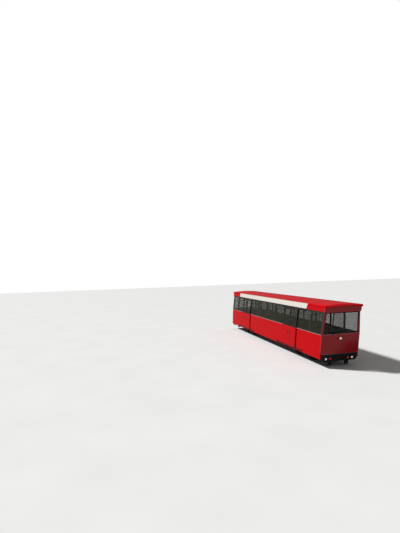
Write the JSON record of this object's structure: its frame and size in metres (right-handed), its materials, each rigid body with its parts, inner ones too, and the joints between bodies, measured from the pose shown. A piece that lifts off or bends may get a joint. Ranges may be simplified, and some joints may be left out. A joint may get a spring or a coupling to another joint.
{
  "type": "funicular car",
  "caption": "Funicular car with a stepped floor, glazed sides, sliding double doors, two bogies and plumb ends leaning with the slope.",
  "frame": {"origin": "on the rail heads, on the centreline, midway between the two bogie pivots", "axes": "+X uphill along the rails, +Y across to the far side, +Z square to the rails; on its slope the car is pitched up 11.2 degrees so that its ends and posts stand plumb"},
  "size_m": [17.1153, 2.508, 3.642],
  "materials": {
    "red_paint": "gloss",
    "black_paint": "satin",
    "cream_board": "satin",
    "window_glass": "gloss",
    "dark_frame": "satin",
    "wheel_steel": "worn tread",
    "axle_steel": "satin",
    "floor_cover": "matt",
    "seat_shell": "satin",
    "seat_fabric": "woven",
    "stainless": "brushed",
    "lining": "matt",
    "lamp_white": "ribbed lens",
    "lamp_red": "ribbed lens",
    "light_diffuser": "opal",
    "wiper_black": "matt"
  },
  "bodies": {
    "car": {"bolsters": "black_paint", "ceiling_lights": "light_diffuser", "consoles": "lining", "door_tracks": "black_paint", "driver_seats": "seat_fabric", "end_beams": "black_paint", "end_fascias": "red_paint", "end_wall_downhill": "red_paint", "end_wall_uphill": "red_paint", "fascia_far": "red_paint", "fascia_near": "red_paint", "floor_steps": "floor_cover", "handrails": "stainless", "headlamps": "lamp_white", "partition_glass": "window_glass", "partitions": "lining", "red_lamps": "lamp_red", "roof": "red_paint", "rope_clevis": "black_paint", "seat_cushions": "seat_fabric", "seat_shells": "seat_shell", "side_frame_far": "dark_frame", "side_frame_near": "dark_frame", "side_glass_far": "window_glass", "side_glass_near": "window_glass", "side_wall_far": "red_paint", "side_wall_near": "red_paint", "sign_boards": "cream_board", "underframe": "black_paint", "white_lamps": "lamp_white", "windscreens": "window_glass", "wipers": "wiper_black"},
    "leaf_far_downhill_a": {"leaf_far_downhill_a": "red_paint", "leaf_glass_far_downhill_a": "window_glass"},
    "leaf_far_downhill_b": {"leaf_far_downhill_b": "red_paint", "leaf_glass_far_downhill_b": "window_glass"},
    "leaf_far_uphill_a": {"leaf_far_uphill_a": "red_paint", "leaf_glass_far_uphill_a": "window_glass"},
    "leaf_far_uphill_b": {"leaf_far_uphill_b": "red_paint", "leaf_glass_far_uphill_b": "window_glass"},
    "leaf_near_downhill_a": {"leaf_near_downhill_a": "red_paint", "leaf_glass_near_downhill_a": "window_glass"},
    "leaf_near_downhill_b": {"leaf_near_downhill_b": "red_paint", "leaf_glass_near_downhill_b": "window_glass"},
    "leaf_near_uphill_a": {"leaf_near_uphill_a": "red_paint", "leaf_glass_near_uphill_a": "window_glass"},
    "leaf_near_uphill_b": {"leaf_near_uphill_b": "red_paint", "leaf_glass_near_uphill_b": "window_glass"},
    "bogie_downhill": {"bogie_frame_downhill": "black_paint", "suspension_downhill": "black_paint"},
    "wheelset_downhill_1": {"wheels_downhill_1": "wheel_steel", "axle_downhill_1": "axle_steel"},
    "wheelset_downhill_2": {"wheels_downhill_2": "wheel_steel", "axle_downhill_2": "axle_steel"},
    "bogie_uphill": {"bogie_frame_uphill": "black_paint", "suspension_uphill": "black_paint"},
    "wheelset_uphill_1": {"wheels_uphill_1": "wheel_steel", "axle_uphill_1": "axle_steel"},
    "wheelset_uphill_2": {"wheels_uphill_2": "wheel_steel", "axle_uphill_2": "axle_steel"}
  },
  "joints": [
    {"name": "leaf_far_downhill_a_slide", "type": "slide", "parent": "car", "child": "leaf_far_downhill_a", "axis": [-1, 0, 0], "range_m": [0, 0.9]},
    {"name": "leaf_far_downhill_b_slide", "type": "slide", "parent": "car", "child": "leaf_far_downhill_b", "axis": [1, 0, 0], "range_m": [0, 0.9]},
    {"name": "leaf_far_uphill_a_slide", "type": "slide", "parent": "car", "child": "leaf_far_uphill_a", "axis": [-1, 0, 0], "range_m": [0, 0.9]},
    {"name": "leaf_far_uphill_b_slide", "type": "slide", "parent": "car", "child": "leaf_far_uphill_b", "axis": [1, 0, 0], "range_m": [0, 0.9]},
    {"name": "leaf_near_downhill_a_slide", "type": "slide", "parent": "car", "child": "leaf_near_downhill_a", "axis": [-1, 0, 0], "range_m": [0, 0.9]},
    {"name": "leaf_near_downhill_b_slide", "type": "slide", "parent": "car", "child": "leaf_near_downhill_b", "axis": [1, 0, 0], "range_m": [0, 0.9]},
    {"name": "leaf_near_uphill_a_slide", "type": "slide", "parent": "car", "child": "leaf_near_uphill_a", "axis": [-1, 0, 0], "range_m": [0, 0.9]},
    {"name": "leaf_near_uphill_b_slide", "type": "slide", "parent": "car", "child": "leaf_near_uphill_b", "axis": [1, 0, 0], "range_m": [0, 0.9]},
    {"name": "bogie_downhill_turn", "type": "hinge", "parent": "car", "child": "bogie_downhill", "pos_m": [-4.85, 0, 0.6], "axis": [0, 0, 1], "range_deg": [-4, 4]},
    {"name": "wheelset_downhill_1_roll", "type": "hinge", "parent": "bogie_downhill", "child": "wheelset_downhill_1", "pos_m": [-5.75, 0, 0.3], "axis": [0, 1, 0], "continuous": true},
    {"name": "wheelset_downhill_2_roll", "type": "hinge", "parent": "bogie_downhill", "child": "wheelset_downhill_2", "pos_m": [-3.95, 0, 0.3], "axis": [0, 1, 0], "continuous": true},
    {"name": "bogie_uphill_turn", "type": "hinge", "parent": "car", "child": "bogie_uphill", "pos_m": [4.85, 0, 0.6], "axis": [0, 0, 1], "range_deg": [-4, 4]},
    {"name": "wheelset_uphill_1_roll", "type": "hinge", "parent": "bogie_uphill", "child": "wheelset_uphill_1", "pos_m": [3.95, 0, 0.3], "axis": [0, 1, 0], "continuous": true},
    {"name": "wheelset_uphill_2_roll", "type": "hinge", "parent": "bogie_uphill", "child": "wheelset_uphill_2", "pos_m": [5.75, 0, 0.3], "axis": [0, 1, 0], "continuous": true}
  ],
  "couplings": [
    {"joint": "leaf_far_downhill_b_slide", "follows": "leaf_far_downhill_a_slide", "ratio": 1},
    {"joint": "leaf_far_uphill_b_slide", "follows": "leaf_far_uphill_a_slide", "ratio": 1},
    {"joint": "leaf_near_downhill_b_slide", "follows": "leaf_near_downhill_a_slide", "ratio": 1},
    {"joint": "leaf_near_uphill_b_slide", "follows": "leaf_near_uphill_a_slide", "ratio": 1}
  ]
}
